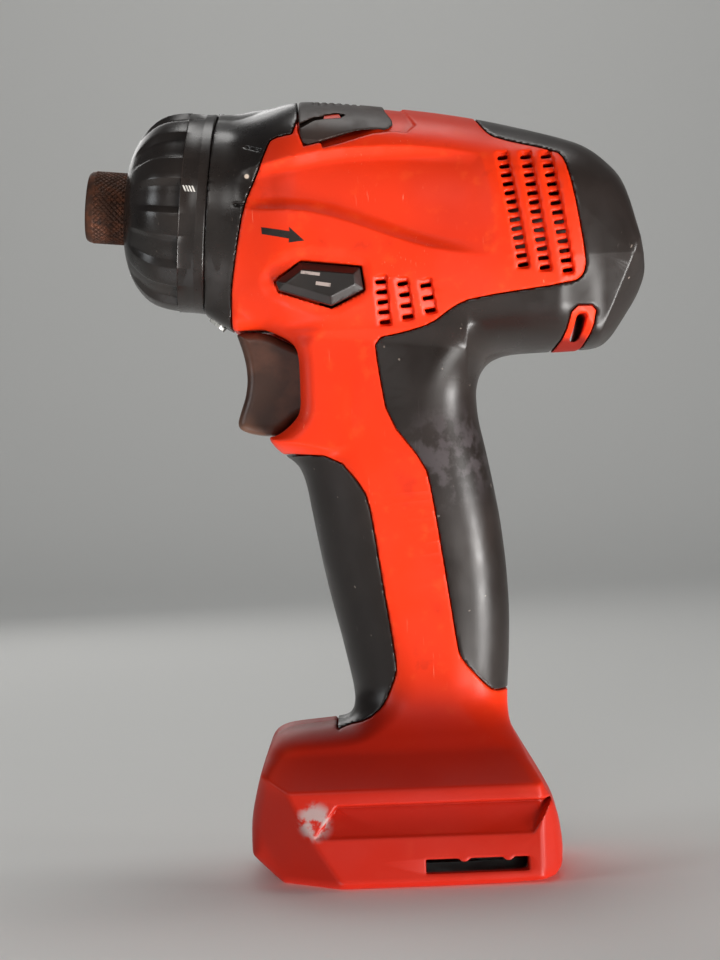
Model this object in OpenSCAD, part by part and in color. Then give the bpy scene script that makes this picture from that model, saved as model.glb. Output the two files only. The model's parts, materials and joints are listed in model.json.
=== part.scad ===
// Compact cordless drill with a quarter inch hex bit chuck, standing on its foot.
// +X points to the nose, +Y to the tool's left, +Z up. The origin is the centre of
// the battery bay's mouth, on the plane that the foot stands on. Millimetres.

/* [Body] */
// Height of the drive axis above the standing plane, at x = 0
axis_z = 156; // [155.8:0.1:156.2]
// Upward tilt of the drive axis, in degrees
nose_up = 6; // [5.8:0.1:6.2]
// Radius of the barrel, before its flanks are flattened
barrel_r = 29.6; // [29.4:0.1:29.8]
// Half width across the flattened flanks
flank_y = 27.4; // [27.2:0.1:27.6]
// Half width of the handle at its middle
handle_y = 17; // [16.6:0.1:17.4]
// Half width of the foot
foot_y = 31.5; // [31:0.1:32]
// Thickness of the soft overmoulded skin
skin_t = 1.4; // [1.2:0.1:1.5]

/* [Chuck and collar] */
// Radius of the torque collar at its rear edge
collar_r = 24; // [23.5:0.1:24.2]
// Radius of the knurled bit sleeve
sleeve_r = 8.75; // [8.6:0.05:8.9]
// Width across the flats of the bit socket
socket_af = 6.4; // [6.35:0.05:6.5]
// Radius of the output spindle
spindle_r = 6; // [5.9:0.05:6]

/* [Motor and gears] */
// Outer radius of the motor can
motor_r = 17.5; // [17.2:0.1:17.6]
// Gear module of both planetary stages
gear_m = 0.8; // [0.78:0.01:0.8]
// Teeth on each sun gear
sun_teeth = 9; // [9]
// Teeth on each planet gear
planet_teeth = 15; // [15]

/* [Controls] */
// Travel of the trigger
trigger_travel = 6; // [4:0.5:6]
// Half width of the trigger
trigger_y = 8.2; // [8:0.1:8.2]
// Travel of the speed selector
selector_travel = 4.5; // [4:0.1:4.5]
// Travel of the reversing button each way
button_travel = 2.5; // [2:0.1:2.5]

/* [Hidden] */
$fn = 64;

far = 200;
gap = 0.3;
run = 0.05;

// Stations along the drive axis, counted from x = 0 towards the nose
cap_front = 41;
collar_rear = cap_front + gap;
collar_front = 61.8;
sleeve_front = 71.2;
spindle_front = 70.9;
case_rear = -3;
case_front = 23.5;
neck_front = 57;
can_rear = -44;
can_front = -6;
stage_1 = -1.3;
stage_2 = 10.5;
planet_w = 5.4;
ball_s = 64;

// Gears
ring_teeth = sun_teeth + 2 * planet_teeth;
pressure = 20;
planet_orbit = gear_m * (sun_teeth + planet_teeth) / 2;
planet_pin_r = 1.95;
ring_r = 17.6;
case_r = 19.6;
neck_r = 13;
shaft_r = 1.6;
nut_rest = 46.3;

// The speed selector: its end stations, where its thick front part begins, the radius of
// its seat and the radius under its thin tail
selector_front = 18;
selector_step = 5;
selector_rear = -4;
seat_r = 25.6;
tail_r = 27.3;

// The fork under the selector, and the gear case's slot for it
fork_w = 4.4;
fork_slot_w = 5.6;
fork_slot_s = 8.4;
fork_slot_l = 7.6;

// Grooves between the torque collar's pads
groove_count = 11;
groove_start = 93.9;
groove_w = 6.6;
groove_d = 1.4;
pad_rear = 47.5;

// The clutch nut and its keys
nut_t = 4;
key_w = 4;

// Wall of the motor can
can_wall = 1.2;

// Latch window low in the foot's side: rear x, length, bottom z and height
latch_window = [-28, 23.7, 3.3, 3.3];

// Side outline of the whole body, x and z, from the nose's top round the back
side_outline = [[50, 185.6], [27.2, 185.3], [21, 186], [12.6, 186], [-3.2, 183.8],
  [-15.3, 181.8], [-30.7, 178.3], [-40.1, 175.5], [-47.7, 173], [-52, 170.2],
  [-56.9, 165.1], [-59.5, 158], [-61.5, 149], [-62.5, 143], [-61.6, 138], [-58, 132],
  [-52.5, 124.9], [-50.5, 124.2], [-39.8, 124], [-27.5, 123.4], [-23.5, 120.5],
  [-21.4, 116.5], [-21.2, 111], [-22.7, 103.2], [-24.5, 93.4], [-26.1, 83.6],
  [-27.2, 72], [-27.5, 64], [-26.9, 50], [-26, 38], [-27.7, 32.2], [-33.6, 22.5],
  [-36.6, 15], [-37.5, 6.5], [-36.8, 3], [-33, 0], [29, 0], [35.9, 6.4], [36.4, 8],
  [35.9, 17.5], [33.3, 27], [31.2, 33], [27, 35.6], [14.5, 37.2], [10.9, 40.3],
  [10.6, 44], [13.1, 56.1], [16.5, 70.8], [19, 85.4], [20.6, 96], [22.5, 99.4],
  [27, 102.6], [29, 105.6], [26.2, 105.9], [23.1, 108.6], [20.9, 111.2], [20.9, 125],
  [22.3, 128.2], [28.7, 131.6], [36.9, 131.3], [50, 142]];

// The rear overmould's area, seen from the side
rear_area = [[-23.5, 190], [-23.5, 180], [-24.8, 175.7], [-27.2, 173.4], [-42.1, 169],
  [-44.3, 162.3], [-47.3, 143.4], [-44.7, 138.9], [-20.4, 136.1], [-10.6, 130.4],
  [2.8, 127.8], [0.2, 108.4], [-8.5, 96.9], [-10.3, 84.6], [-12.4, 68.2], [-14.6, 51.4],
  [-21.8, 43.4], [-25, 43.1], [-70, 43.1], [-70, 190]];

// The front overmould's area, seen from the side
front_area = [[40, 101.8], [26.2, 101.6], [12.7, 100.5], [6.2, 92], [3, 69.7],
  [0.4, 50], [2.6, 43.4], [7.9, 37.5], [14.8, 36.1], [40, 45]];

// The nose cap's area, seen from the side
nose_area = [[19.6, 190], [19.6, 175.9], [26, 174.8], [28.7, 167.2], [32.2, 159.5],
  [35, 146.5], [36.6, 139], [36.9, 130], [60, 130], [60, 190]];

// The reversing button's cap, seen from the side
button_outline = [[25.5, 141.6], [19.4, 145.9], [5.5, 144.2], [4.9, 138.9],
  [12.6, 135.4], [24.8, 139.5]];

// The tether eyelet and the slot in it, seen from the side
eyelet_outline = [[-44, 133.4], [-49.6, 133.4], [-48.9, 128.3], [-46.5, 123.5],
  [-39.5, 123.2], [-42.2, 127]];
eyelet_slot = [[-45, 131.9], [-47.6, 131.9], [-46.6, 128.3], [-45.5, 125.7],
  [-43.4, 125.7], [-44, 127.6]];

// The trigger, seen from the side
trigger_outline = [[36.4, 109.4], [35.5, 111.9], [34.2, 115.5], [33.7, 122.2],
  [34.4, 126.2], [35.5, 129.2], [35.9, 131], [28.8, 131], [22.5, 127.7], [20, 126.5],
  [14, 126.5], [14, 110.6], [20.4, 110.6], [23.2, 108.9], [26.6, 106.3], [33.5, 106.9]];

// Screw places: x, z and how far the head's seat lies from the middle plane
screw_places = [[-33, 131, 13], [-9, 131.5, 12], [15.5, 99.5, 11], [-17, 104, 9],
  [-20, 58, 8.5], [7, 54, 10], [23, 26, 20], [-26, 26, 20]];
screw_r = 1.2;
head_r = 2.6;
boss_r = 3.2;

// Louvre columns: top x, top z, bottom x, bottom z and the number of slots
louvres = [[-28.4, 168.4, -32.2, 143.2, 13], [-33.8, 168.4, -37.2, 142.4, 13],
  [-38.6, 168.4, -42.5, 141.6, 13], [1.1, 140.6, 0.4, 131.5, 5],
  [-4, 140, -5, 132.5, 4], [-9.4, 139.4, -10.3, 133.7, 3]];

// Wire routes, left side: point lists, x, y and z
supply_route = [[-2, 4, 19.1], [-3, 4, 40], [-1, 4, 70], [-2, 4, 103.9]];
motor_route = [[-15.4, 4, 120], [-15.5, 5.5, 126], [-16.2, 6.6, 131], [-17.4, 7.4, 134.6],
  [-20.5, 11.5, 136.6], [-28, 14, 137], [-38.5, 13.2, 138]];

// Moves every point of an outline inwards by d
function inset(points, d) = [for (i = [0 : len(points) - 1])
  let (n = len(points), a = points[(i + n - 1) % n], b = points[(i + 1) % n])
  points[i] + d * [a[1] - b[1], b[0] - a[0]] / norm(b - a)];

// Angle that an involute adds, in degrees
function involute(angle) = tan(angle) * 180 / PI - angle;

// Half a tooth's angle at radius r, where full is 1 for a tooth as wide as its gap
function half_tooth(teeth, r, full) = 90 / teeth * full + involute(pressure)
  - involute(acos(min(1, gear_m * teeth / 2 * cos(pressure) / r)));

// Outline of a gear between its root and tip radii
function gear_outline(teeth, r_root, r_tip, full) = let (
  radii = [r_root, gear_m * teeth / 2, r_tip, r_tip, gear_m * teeth / 2, r_root],
  side = [-1, -1, -1, 1, 1, 1])
  [for (t = [0 : teeth - 1], k = [0 : 5])
    let (a = 360 / teeth * t + side[k] * half_tooth(teeth, radii[k], full))
    radii[k] * [cos(a), sin(a)]];

// Places things in the drive's own frame: z along the axis, x down, y left
module drive() translate([0, 0, axis_z]) rotate([0, 90 - nose_up, 0]) children();

module disc(s0, s1, r) translate([0, 0, s0]) cylinder(h = s1 - s0, r = r);

module ring(s0, s1, r_out, r_in) {
  difference() {
    disc(s0, s1, r_out);
    disc(s0 - 1, s1 + 1, r_in);
  }
}

// Spins a list of [radius, station] points about the drive axis
module turned(points) rotate_extrude() polygon(points);

// Extrudes an x, z outline from y0 to y1
module side_prism(points, y0, y1) {
  translate([0, y1, 0]) rotate([90, 0, 0]) linear_extrude(height = y1 - y0) polygon(points);
}

// Extrudes a y, z outline from x0 to x1
module front_prism(points, x0, x1) {
  translate([x0, 0, 0]) rotate([90, 0, 90]) linear_extrude(height = x1 - x0) polygon(points);
}

// One side of the middle plane: 1 for left, -1 for right
module half_space(side) {
  translate([-far / 2, side > 0 ? 0 : -far, -10]) cube([far, far, far + 20]);
}

// A thin oval slice of the handle
module slice(z, x_rear, x_front, half_y, shrink) {
  translate([(x_rear + x_front) / 2, 0, z])
    scale([(x_front - x_rear) / 2 - shrink, half_y - shrink, 1])
      cylinder(h = 0.2, r = 1, $fn = 40);
}

module handle(shrink) {
  hull() {
    slice(134, -27, 25, handle_y + 5, shrink);
    slice(106, -22.6, 28, handle_y + 1.5, shrink);
  }
  hull() {
    slice(106, -22.6, 28, handle_y + 1.5, shrink);
    slice(70, -28, 17, handle_y, shrink);
  }
  hull() {
    slice(70, -28, 17, handle_y, shrink);
    slice(30, -28, 12.5, handle_y, shrink);
  }
}

module barrel(shrink) {
  intersection() {
    drive() turned([[0, -64 + shrink], [9 - shrink, -64 + shrink], [15 - shrink, -62.3],
      [22 - shrink, -58.5], [26.3 - shrink, -53], [28.9 - shrink, -46],
      [barrel_r - shrink, -38], [barrel_r - shrink, 20], [27.6 - shrink, 25],
      [26.1 - shrink, 30], [24.8 - shrink, cap_front], [0, cap_front]]);
    translate([-far / 2, shrink - flank_y, 0]) cube([far, 2 * (flank_y - shrink), far]);
  }
}

// The foot: a plan with cut corners, narrowed towards the handle above its ridge
module foot() {
  intersection() {
    linear_extrude(height = 40) polygon([[-30, -foot_y], [24, -foot_y], [37, -19],
      [37, 19], [24, foot_y], [-30, foot_y], [-38, 22], [-38, -22]]);
    front_prism([[-foot_y + 1, 0], [foot_y - 1, 0], [foot_y, 2], [foot_y, 20],
      [foot_y - 1.5, 23.5], [14, 38], [-14, 38], [1.5 - foot_y, 23.5], [-foot_y, 20],
      [-foot_y, 2]], -40, 40);
  }
}

// The chin under the nose, above the trigger
module chin() side_prism([[20, 150], [20, 127], [28.7, 131], [36.9, 131.2], [43, 136.2],
  [41, 150]], -11, 11);

// The outer form, or the rigid core under the soft skin
module body_form(shrink) {
  intersection() {
    side_prism(inset(side_outline, shrink), -40, 40);
    union() {
      barrel(shrink);
      handle(shrink);
      foot();
      chin();
    }
  }
}

// Space for the motor, gears and clutch
module drive_cavity() drive() turned([[0, -47.5], [18, -47.5], [20.5, -42], [23.5, -30],
  [24.2, 20], [22.5, 27], [22.5, 45], [0, 45]]);

// Space for the switch and wires in the handle
module handle_cavity() {
  side_prism([[-17.5, 134], [16, 138], [16.5, 128], [17.5, 112], [15.5, 103], [11, 75],
    [7, 45], [5, 24], [-20, 24], [-22, 45], [-22, 75], [-18.5, 103], [-17.5, 126]],
    -8.5, 8.5);
  side_prism([[-14, 124], [12, 124], [12, 106], [5, 75], [0, 24], [-16, 24], [-17, 75],
    [-14, 106]], -12.5, 12.5);
}

// The battery bay, open downwards, with a window in each side wall for the latches
module battery_bay() {
  translate([0, 0, -1]) linear_extrude(height = 20) polygon([[-26, -28], [19, -28],
    [26.5, -19.5], [26.5, 19.5], [19, 28], [-26, 28], [-30, 21], [-30, -21]]);
  translate([latch_window[0], -40, latch_window[2]]) cube([latch_window[1], 80, latch_window[3]]);
  translate([-12, -6, 18]) cube([14, 12, 8]);
}

// Guide ribs inside the bay
module bay_ribs() {
  for (x = [-22, 16]) translate([x, 26.4, 8]) cube([3, 2.6, 12]);
}

// Long recess along the foot's side
module foot_groove() {
  side_prism([[17.3, 19.7], [-40, 19.7], [-40, 16], [-29.5, 12], [21.6, 12]],
    foot_y - 2.3, foot_y + 1);
}

// Space for the trigger, from the open front back to where its rear ends its travel
module trigger_space() {
  t = trigger_travel;
  side_prism([[14 - t - gap, 126.8], [22.2 - t, 128.1], [28.6 - t, 131.4], [60, 131.4],
    [60, 106], [26.5 - t, 106], [23 - t, 108.4], [20.2 - t, 110.3],
    [14 - t - gap, 110.3]], -trigger_y - gap, trigger_y + gap);
}

// Tunnel for the reversing button, with room for its travel
module button_space() {
  t = button_travel + 0.4;
  front_prism([[-11 - t, 130.6], [11 + t, 130.6], [16 + t, 135], [21.5 + t, 136.9],
    [21.5 + t, 141.4], [-21.5 - t, 141.4], [-21.5 - t, 136.9], [-16 - t, 135]], 8.6, 15.4);
  side_prism(inset(button_outline, -0.4), 18.6, 40);
  side_prism(inset(button_outline, -0.4), -40, -18.6);
}

// Seat for the speed selector, shallow under its thin tail, and the slot for its fork
module selector_space() {
  drive() intersection() {
    union() {
      ring(selector_step - selector_travel - gap, selector_front + gap, 40, seat_r);
      ring(selector_rear - selector_travel - gap, selector_front, 40, tail_r - gap);
    }
    translate([-60, -40, -20]) cube([41, 80, 60]);
  }
  drive() translate([-27, -fork_slot_w / 2, fork_slot_s]) cube([10, fork_slot_w, fork_slot_l]);
}

module louvre_cuts() {
  for (c = louvres, k = [0 : c[4] - 1]) {
    f = k / (c[4] - 1);
    x = c[0] + f * (c[2] - c[0]);
    z = c[1] + f * (c[3] - c[1]);
    translate([x - 1.6, 14, z - 0.55]) cube([3.2, 20, 1.1]);
  }
}

module soft_zone() {
  difference() {
    union() {
      side_prism(rear_area, -40, 40);
      side_prism(front_area, -40, 40);
    }
    body_form(skin_t);
  }
}

// Ribs that hold the motor and the gear case
module mounting_ribs() {
  drive() intersection() {
    union() {
      ring(-36, -34, 24, motor_r);
      ring(-14, -12, 24.5, motor_r);
      ring(1, 3, 24.5, case_r);
    }
    translate([-60, -40, -60]) cube([60, 80, 120]);
  }
}

module screw_bosses() {
  for (p = screw_places) translate([p[0], 0, p[1]]) rotate([-90, 0, 0])
    cylinder(h = 14, r = boss_r);
}

// The left shell; the right one is its mirror image with screw holes from outside
module shell_half() {
  difference() {
    intersection() {
      body_form(0);
      half_space(1);
    }
    difference() {
      union() {
        drive_cavity();
        handle_cavity();
        battery_bay();
      }
      mounting_ribs();
      screw_bosses();
      bay_ribs();
    }
    soft_zone();
    side_prism(nose_area, -40, 40);
    side_prism(eyelet_outline, -40, 40);
    foot_groove();
    trigger_space();
    button_space();
    selector_space();
    louvre_cuts();
    lens_space();
  }
}

module housing_left() {
  color("orangered") difference() {
    shell_half();
    for (p = screw_places) translate([p[0], -1, p[1]]) rotate([-90, 0, 0])
      cylinder(h = 9, r = screw_r);
  }
}

module housing_right() {
  color("orangered") difference() {
    mirror([0, 1, 0]) shell_half();
    for (p = screw_places) {
      translate([p[0], 1, p[1]]) rotate([90, 0, 0]) cylinder(h = 40, r = screw_r + 0.2);
      translate([p[0], -p[2], p[1]]) rotate([90, 0, 0]) cylinder(h = 40, r = head_r + 0.3);
    }
  }
}

module nose_cap() {
  color("dimgray") difference() {
    union() {
      intersection() {
        difference() {
          body_form(0);
          drive_cavity();
        }
        side_prism(nose_area, -40, 40);
      }
      drive() ring(38.5, cap_front, 23.5, 18.5);
      drive() ring(cap_front - 0.5, 42, 20.1, 18.5);
    }
    selector_space();
    trigger_space();
    lens_space();
  }
}

module soft_grip(area, side) {
  difference() {
    intersection() {
      body_form(0);
      side_prism(area, side > 0 ? 0 : -40, side > 0 ? 40 : 0);
    }
    body_form(skin_t);
    side_prism(eyelet_outline, -40, 40);
    side_prism(nose_area, -40, 40);
    trigger_space();
    louvre_cuts();
    if (side < 0) for (p = screw_places)
      translate([p[0], -8, p[1]]) rotate([90, 0, 0]) cylinder(h = 40, r = head_r + 0.3);
  }
}

module rear_grip_left() color("dimgray") soft_grip(rear_area, 1);
module rear_grip_right() color("dimgray") soft_grip(rear_area, -1);
module front_grip_left() color("dimgray") soft_grip(front_area, 1);
module front_grip_right() color("dimgray") soft_grip(front_area, -1);

module tether_eyelet() {
  color("firebrick") difference() {
    intersection() {
      barrel(0);
      side_prism(side_outline, -40, 40);
      side_prism(eyelet_outline, -40, 40);
    }
    side_prism(eyelet_slot, -40, 40);
    drive_cavity();
  }
}

module housing_screws() {
  color("darkgray") for (p = screw_places) {
    translate([p[0], 7, p[1]]) rotate([90, 0, 0]) cylinder(h = 7 + p[2], r = screw_r);
    translate([p[0], -p[2], p[1]]) rotate([90, 0, 0]) difference() {
      cylinder(h = 2, r = head_r);
      translate([0, 0, 1]) cylinder(h = 2, r = 1.4, $fn = 6);
    }
  }
}

// The lamp sits in the sloping chin and points ahead of the bit
led_r = 2.3;
module led_place() translate([39.4, 0, 134.9]) rotate([0, 140, 0]) children();
module lens_space() led_place() cylinder(h = 8, r = led_r + run, center = true);
module led_lens() color("white") led_place() cylinder(h = 4.6, r = led_r, center = true);

module motor_can() {
  color("silver") drive() difference() {
    disc(can_rear, can_front, motor_r);
    disc(can_rear - 1, can_front - 2, motor_r - can_wall);
    disc(can_front - 3, can_front + 1, shaft_r + run);
    for (a = [45 : 90 : 315]) rotate([0, 0, a]) translate([11, 0, can_front - 3])
      cylinder(h = 4, r = 2);
  }
}

module motor_end_cap() {
  color("black") drive() difference() {
    union() {
      disc(-47, can_rear, motor_r);
      ring(can_rear, -38, motor_r - can_wall - 0.1, 14.2);
      for (side = [-1, 1]) translate([-3.4, side > 0 ? 5.6 : -14.6, can_rear])
        cube([6.8, 9, 8]);
    }
    disc(-48, can_rear + 1, shaft_r + run);
    for (side = [-1, 1]) translate([-2.3, side > 0 ? 5 : -16, can_rear + 1.4])
      cube([4.6, 11, 4.6]);
  }
}

module magnets() {
  color("darkslategray") drive() for (side = [-1, 1]) intersection() {
    ring(-36, -12, motor_r - can_wall - 0.1, 13.4);
    rotate([0, 0, side > 0 ? 0 : 180]) translate([0, 0, -40]) linear_extrude(height = 40)
      polygon([[0, 0], [30, -25], [30, 25]]);
  }
}

module brush(side) {
  drive() translate([-2.2, side > 0 ? 5.1 : -11.1, can_rear + 1.5]) cube([4.4, 6, 4.4]);
}
module brush_left() color("dimgray") brush(1);
module brush_right() color("dimgray") brush(-1);

module motor_plate() {
  color("silver") drive() difference() {
    disc(can_front, case_rear, case_r);
    disc(can_front - 1, case_rear + 1, 4.6);
  }
}

module gear_case() {
  color("gray") drive() difference() {
    union() {
      disc(case_rear, case_front, case_r);
      disc(case_front - 1, neck_front, neck_r);
    }
    disc(case_rear - 1, 20, ring_r + run);
    disc(19, neck_front + 1, 9);
    for (a = [30 : 60 : 330]) rotate([0, 0, a]) translate([16, 0, 20.6])
      cylinder(h = 4, r = 1.6);
    translate([-22, -fork_slot_w / 2, fork_slot_s]) cube([8, fork_slot_w, fork_slot_l]);
  }
}

module internal_gear(s0, s1) {
  difference() {
    disc(s0, s1, ring_r);
    translate([0, 0, s0 - 1]) linear_extrude(height = s1 - s0 + 2)
      polygon(gear_outline(ring_teeth, gear_m * (ring_teeth / 2 - 0.7),
        gear_m * (ring_teeth / 2 + 1.1), 1.24));
  }
}

module external_gear(teeth, s0, s1, turn) {
  translate([0, 0, s0]) rotate([0, 0, turn]) linear_extrude(height = s1 - s0)
    polygon(gear_outline(teeth, gear_m * (teeth / 2 - 1.1), gear_m * (teeth / 2 + 0.65),
      0.76));
}

module ring_gear_1() color("silver") drive() internal_gear(case_rear, 5.5);

module spindle_bushes() {
  color("darkgoldenrod") drive() for (s = [24, 47]) ring(s, s + 9, 9, spindle_r + run);
}

module clutch_balls() {
  color("silver") drive() for (a = [30 : 60 : 330]) rotate([0, 0, a])
    translate([16, 0, 22.2]) sphere(r = 1.55);
}

module clutch_washer() color("silver") drive() ring(case_front + 0.3, 25.6, 19, neck_r + run);
module collar_clip() color("silver") drive() ring(neck_front - 1.2, neck_front, 15.5, neck_r);

module switch_body() {
  color("black") {
    difference() {
      translate([-14, -8.2, 104]) cube([21, 16.4, 22]);
      translate([-8, 0, 118]) rotate([0, 90, 0]) cylinder(h = 20, r = 3 + run);
    }
    translate([-2, 0, 126]) cylinder(h = 4.4, r = 1.5);
  }
}

module terminal_block() {
  color("black") difference() {
    translate([-14, -12, 12]) cube([28, 24, 7]);
    for (y = [-9, -3, 3, 9]) translate([-15, y - 1.2, 11]) cube([25, 2.4, 7]);
  }
}

module terminal_blades() {
  color("gold") for (y = [-9, -3, 3, 9]) translate([-10, y - 0.4, 12.5]) cube([18, 0.8, 5.5]);
}

// The unit vector of v
function unit(v) = v / norm(v);

// A round wire swept through a list of points, none of them along Y
module wire(points, r) {
  n = len(points);
  sides = 10;
  rings = [for (i = [0 : n - 1])
    let (t = unit(points[min(i + 1, n - 1)] - points[max(i - 1, 0)]),
      u = unit(cross(t, [0, 1, 0])), v = cross(t, u))
    for (k = [0 : sides - 1]) points[i] + r * (cos(360 / sides * k) * u + sin(360 / sides * k) * v)];
  walls = [for (i = [0 : n - 2], k = [0 : sides - 1], half = [0, 1])
    let (a = i * sides + k, b = i * sides + (k + 1) % sides)
    half == 0 ? [a, b, b + sides] : [a, b + sides, a + sides]];
  caps = [[for (k = [sides - 1 : -1 : 0]) k], [for (k = [0 : sides - 1]) (n - 1) * sides + k]];
  polyhedron(points = rings, faces = concat(walls, caps));
}

module wire_pair(points, r) {
  wire(points, r);
  mirror([0, 1, 0]) wire(points, r);
}

module supply_wires() color("crimson") wire_pair(supply_route, 1.1);

module motor_wires() color("crimson") wire_pair(motor_route, 1.1);

module rotor_shaft() color("silver") drive() disc(-46.8, 5, shaft_r);

module armature_core() {
  color("gray") drive() difference() {
    disc(-32, -14, 13);
    disc(-33, -13, shaft_r);
    for (a = [0 : 72 : 288]) rotate([0, 0, a]) {
      translate([12, -0.9, -33]) cube([3, 1.8, 20]);
      translate([9, 0, -33]) cylinder(h = 20, r = 2.8);
    }
  }
}

module windings() {
  color("peru") drive() for (a = [0 : 72 : 288]) rotate([0, 0, a])
    translate([9, 0, -34.5]) cylinder(h = 22.5, r = 2.6);
}

module commutator() {
  color("peru") drive() difference() {
    ring(-43.5, -35, 5, shaft_r);
    for (a = [36 : 72 : 324]) rotate([0, 0, a]) translate([4.2, -0.25, -44]) cube([2, 0.5, 8]);
  }
}

module fan() {
  color("black") drive() {
    ring(-11.4, -10.4, 13.5, shaft_r);
    ring(-11.4, -8.6, 3.4, shaft_r);
    for (a = [0 : 40 : 320]) rotate([0, 0, a]) translate([4.5, -0.4, -11]) cube([8.6, 0.8, 2.4]);
  }
}

module pinion() {
  color("silver") drive() difference() {
    external_gear(sun_teeth, -2.4, 4.8, 0);
    disc(-3, 6, shaft_r);
  }
}

// A planet carrier: a plate with three pins behind it
module carrier_plate(s0, s1, pin_start) {
  disc(s0, s1, 12.6);
  for (a = [0, 120, 240]) rotate([0, 0, a]) translate([planet_orbit, 0, 0])
    disc(pin_start, s0 + 0.5, planet_pin_r);
}

module carrier_1() {
  color("silver") drive() {
    carrier_plate(5.2, 7.7, stage_1 - 0.3);
    external_gear(sun_teeth, 7.5, 15.9, 0);
  }
}

module carrier_2() color("silver") drive() carrier_plate(16.2, 19, stage_2 - 0.3);

// A planet gear on its carrier's pin at the given angle, in mesh with sun and ring
module planet(s, angle) {
  drive() translate([planet_orbit * cos(angle), planet_orbit * sin(angle), 0])
    difference() {
      external_gear(planet_teeth, s, s + planet_w, angle + 180 - 180 / planet_teeth);
      disc(s - 1, s + planet_w + 1, planet_pin_r + run);
    }
}
module planet_1a() color("silver") planet(stage_1, 0);
module planet_1b() color("silver") planet(stage_1, 120);
module planet_1c() color("silver") planet(stage_1, 240);
module planet_2a() color("silver") planet(stage_2, 0);
module planet_2b() color("silver") planet(stage_2, 120);
module planet_2c() color("silver") planet(stage_2, 240);

module spindle() {
  color("silver") drive() difference() {
    disc(19, spindle_front, spindle_r);
    translate([0, 0, 47]) cylinder(h = 30, r = socket_af / 2 / cos(30), $fn = 6);
    for (side = [-1, 1]) translate([0, side * 2, ball_s]) rotate([-90 * side, 0, 0])
      cylinder(h = 6, r = 1.55);
    ring(69.7, 70.5, 8, spindle_r - 0.6);
  }
}

module sleeve_clip() color("silver") drive() ring(69.7, 70.5, 7.5, spindle_r - 0.6);

// Inside, a ramped groove lets the balls move out when the sleeve is pulled forward
module bit_sleeve() {
  r_in = spindle_r + 0.1;
  color("saddlebrown") drive() turned([[r_in, 58], [sleeve_r - 0.6, 58],
    [sleeve_r, 58.6], [sleeve_r, sleeve_front - 1.6], [sleeve_r - 1, sleeve_front],
    [7.7, sleeve_front], [7.7, 65.5], [r_in, 65.5], [r_in, ball_s - 0.5],
    [7, ball_s - 1.6], [7, ball_s - 4.2], [r_in, ball_s - 4.6]]);
}

// A coil of round rings, close to a spring's solid form
module coil(s0, s1, r, wire_r, turns) {
  pitch = (s1 - s0 - 2 * wire_r) / (turns - 1);
  for (k = [0 : turns - 1]) translate([0, 0, s0 + wire_r + k * pitch]) rotate_extrude()
    translate([r, 0]) circle(r = wire_r, $fn = 16);
}

module sleeve_spring() color("gray") drive() coil(65.6, 69.6, 6.85, 0.4, 3);

module ball(side) drive() translate([0, side * 4.2, ball_s]) sphere(r = 1.5, $fn = 32);
module ball_left() color("silver") ball(1);
module ball_right() color("silver") ball(-1);

// Keys inside the collar turn the clutch nut with it
module torque_collar() {
  color("dimgray") drive() difference() {
    turned([[0, collar_rear], [collar_r - 0.8, collar_rear], [collar_r, collar_rear + 0.8],
      [collar_r, 48], [collar_r - 1, 53], [collar_r - 3.2, 56.6], [17.2, 59.3],
      [13, 61], [10, collar_front], [0, collar_front]]);
    disc(collar_rear - 1, 53, 20.2);
    disc(52, 57.4, 16.6);
    disc(50, 70, 9.4);
    for (a = [45 : 90 : 315]) rotate([0, 0, a]) translate([19, -key_w / 2 - gap, collar_rear - 1])
      cube([2.6, key_w + 2 * gap, 13]);
    for (k = [1 : groove_count]) rotate([0, 0, groove_start + 360 / groove_count * k])
      translate([collar_r - groove_d, -groove_w / 2, pad_rear]) cube([2, groove_w, 10]);
  }
}

module clutch_nut() {
  color("goldenrod") drive() difference() {
    union() {
      disc(nut_rest, nut_rest + nut_t, 19.8);
      for (a = [45 : 90 : 315]) rotate([0, 0, a]) translate([18, -key_w / 2, nut_rest])
        cube([3.2, key_w, nut_t]);
    }
    disc(nut_rest - 1, nut_rest + nut_t + 1, neck_r + run);
  }
}

module clutch_spring() color("gray") drive() coil(25.7, nut_rest - 0.1, 15.6, 1.1, 6);

module speed_selector() {
  color("dimgray") intersection() {
    side_prism(side_outline, -40, 40);
    drive() difference() {
      intersection() {
        union() {
          ring(selector_step, selector_front, barrel_r, seat_r + gap);
          ring(selector_rear, selector_step + 0.1, barrel_r, tail_r);
        }
        translate([-60, -40, -20]) cube([40.6, 80, 60]);
      }
      for (s = [6.5 : 2.5 : 14]) translate([-32, -8, s]) cube([4.6, 16, 1]);
    }
    translate([-far / 2, -flank_y, 0]) cube([far, 2 * flank_y, far]);
  }
}

module shift_fork() color("silver") drive() translate([-25.8, -fork_w / 2, 13.4])
  cube([8.5, fork_w, 2]);

module ring_gear_2() {
  color("silver") drive() difference() {
    internal_gear(10.6, 18.1);
    ring(13.2, 15.6, ring_r + 1, 17.1);
  }
}

module trigger() color("saddlebrown") side_prism(trigger_outline, -trigger_y, trigger_y);

module trigger_plunger() {
  color("silver") translate([1, 0, 118]) rotate([0, 90, 0]) cylinder(h = 13, r = 3);
}

module trigger_spring() {
  color("gray") translate([0, 0, 118]) rotate([0, 90, 0]) coil(7.1, 13.9, 4.2, 0.5, 4);
}

// A push-through bar with a six-sided cap on each end
module reverse_button() {
  color("black") difference() {
    union() {
      front_prism([[-11, 131], [11, 131], [16, 135.7], [21.6, 137.6], [21.6, 141],
        [17, 141], [11, 136.8], [-11, 136.8], [-17, 141], [-21.6, 141], [-21.6, 137.6],
        [-16, 135.7]], 9, 15);
      side_prism(button_outline, 21.5, 26.6);
      side_prism(button_outline, -26.6, -21.5);
    }
    translate([8, -1.6, 130]) cube([8, 3.2, 4]);
  }
}

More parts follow.
